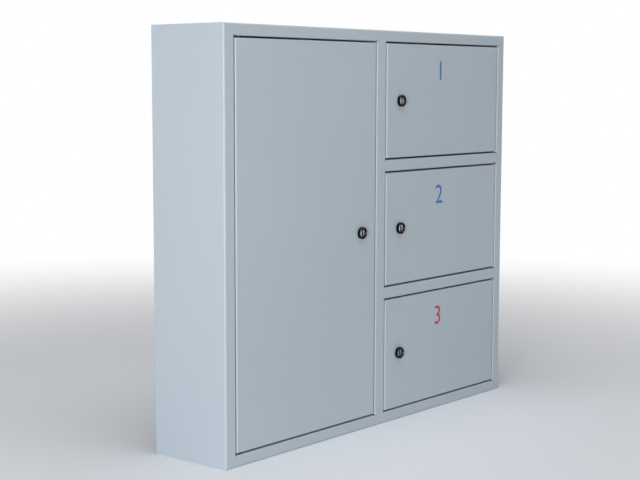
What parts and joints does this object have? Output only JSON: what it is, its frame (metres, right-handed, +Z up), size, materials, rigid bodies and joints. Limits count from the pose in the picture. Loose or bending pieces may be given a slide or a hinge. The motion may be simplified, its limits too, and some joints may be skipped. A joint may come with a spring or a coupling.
{
  "type": "fiber optic splice box",
  "caption": "Wall-mounted steel splice box for optical fibre, with a tall door on the left, a column of small doors on the right, cam locks, splice trays and splitter compartments.",
  "frame": {"origin": "middle of the four wall-fixing holes, on the back face of the cabinet", "axes": "+Z up, +X to the right as seen from the front, +Y into the wall; the front with its doors faces -Y"},
  "size_m": [0.68, 0.141, 0.6],
  "materials": {
    "painted_sheet": "light grey powder coat, satin, fine orange peel",
    "zinc_steel": "zinc plated, dull",
    "lock_chrome": "dark chrome, polished",
    "black_rubber": "matte",
    "tray_plastic": "moulded, fine spark texture",
    "adapter_plastic": "moulded, semi gloss",
    "cap_plastic": "moulded, soft",
    "module_plastic": "moulded, fine texture"
  },
  "bodies": {
    "cabinet": {"cabinet_shell": "painted_sheet", "back_panel": "painted_sheet", "strike_strip": "painted_sheet", "partition": "painted_sheet", "shelf_upper": "painted_sheet", "shelf_lower": "painted_sheet", "gland_plate": "zinc_steel", "cable_grommets": "black_rubber", "pass_frames": "black_rubber", "hinge_pins": "zinc_steel", "earth_stud": "zinc_steel", "earth_nut": "zinc_steel", "clamp_bar": "zinc_steel", "cable_clamps": "zinc_steel", "pan_head_screws": "zinc_steel", "tray_studs": "zinc_steel", "splice_tray_1": "tray_plastic", "splice_tray_2": "tray_plastic", "splice_tray_3": "tray_plastic", "wing_nuts": "zinc_steel", "adapter_panel": "painted_sheet", "fibre_adapters": "adapter_plastic", "dust_caps": "cap_plastic", "winding_spools": "tray_plastic", "splitter_bracket_1": "zinc_steel", "splitter_bracket_2": "zinc_steel", "splitter_bracket_3": "zinc_steel", "splitter_module_1": "module_plastic", "splitter_module_2": "module_plastic", "splitter_module_3": "module_plastic"},
    "large_leaf": {"large_door": "painted_sheet", "large_door_knuckles": "zinc_steel", "large_door_lock_body": "lock_chrome", "large_door_lock_nut": "zinc_steel"},
    "large_lock": {"large_door_lock_plug": "lock_chrome", "large_door_lock_cam": "zinc_steel", "large_door_cam_screw": "zinc_steel"},
    "small_leaf_1": {"small_door_1": "painted_sheet", "small_door_1_knuckles": "zinc_steel", "small_door_1_lock_body": "lock_chrome", "small_door_1_lock_nut": "zinc_steel"},
    "small_lock_1": {"small_door_1_lock_plug": "lock_chrome", "small_door_1_lock_cam": "zinc_steel", "small_door_1_cam_screw": "zinc_steel"},
    "small_leaf_2": {"small_door_2": "painted_sheet", "small_door_2_knuckles": "zinc_steel", "small_door_2_lock_body": "lock_chrome", "small_door_2_lock_nut": "zinc_steel"},
    "small_lock_2": {"small_door_2_lock_plug": "lock_chrome", "small_door_2_lock_cam": "zinc_steel", "small_door_2_cam_screw": "zinc_steel"},
    "small_leaf_3": {"small_door_3": "painted_sheet", "small_door_3_knuckles": "zinc_steel", "small_door_3_lock_body": "lock_chrome", "small_door_3_lock_nut": "zinc_steel"},
    "small_lock_3": {"small_door_3_lock_plug": "lock_chrome", "small_door_3_lock_cam": "zinc_steel", "small_door_3_cam_screw": "zinc_steel"}
  },
  "joints": [
    {"name": "large_door_hinge", "type": "hinge", "parent": "cabinet", "child": "large_leaf", "pos_m": [-0.306, -0.13, 0], "axis": [0, 0, -1], "range_deg": [0, 120]},
    {"name": "large_lock_turn", "type": "hinge", "parent": "large_leaf", "child": "large_lock", "pos_m": [-0.046, -0.13, 0], "axis": [0, 1, 0], "range_deg": [0, 90]},
    {"name": "small_door_1_hinge", "type": "hinge", "parent": "cabinet", "child": "small_leaf_1", "pos_m": [0.3075, -0.13, 0.19483], "axis": [0, 0, 1], "range_deg": [0, 120]},
    {"name": "small_lock_1_turn", "type": "hinge", "parent": "small_leaf_1", "child": "small_lock_1", "pos_m": [0.05, -0.13, 0.19483], "axis": [0, -1, 0], "range_deg": [0, 90]},
    {"name": "small_door_2_hinge", "type": "hinge", "parent": "cabinet", "child": "small_leaf_2", "pos_m": [0.3075, -0.13, 0], "axis": [0, 0, 1], "range_deg": [0, 120]},
    {"name": "small_lock_2_turn", "type": "hinge", "parent": "small_leaf_2", "child": "small_lock_2", "pos_m": [0.05, -0.13, 0], "axis": [0, -1, 0], "range_deg": [0, 90]},
    {"name": "small_door_3_hinge", "type": "hinge", "parent": "cabinet", "child": "small_leaf_3", "pos_m": [0.3075, -0.13, -0.19483], "axis": [0, 0, 1], "range_deg": [0, 120]},
    {"name": "small_lock_3_turn", "type": "hinge", "parent": "small_leaf_3", "child": "small_lock_3", "pos_m": [0.05, -0.13, -0.19483], "axis": [0, -1, 0], "range_deg": [0, 90]}
  ]
}
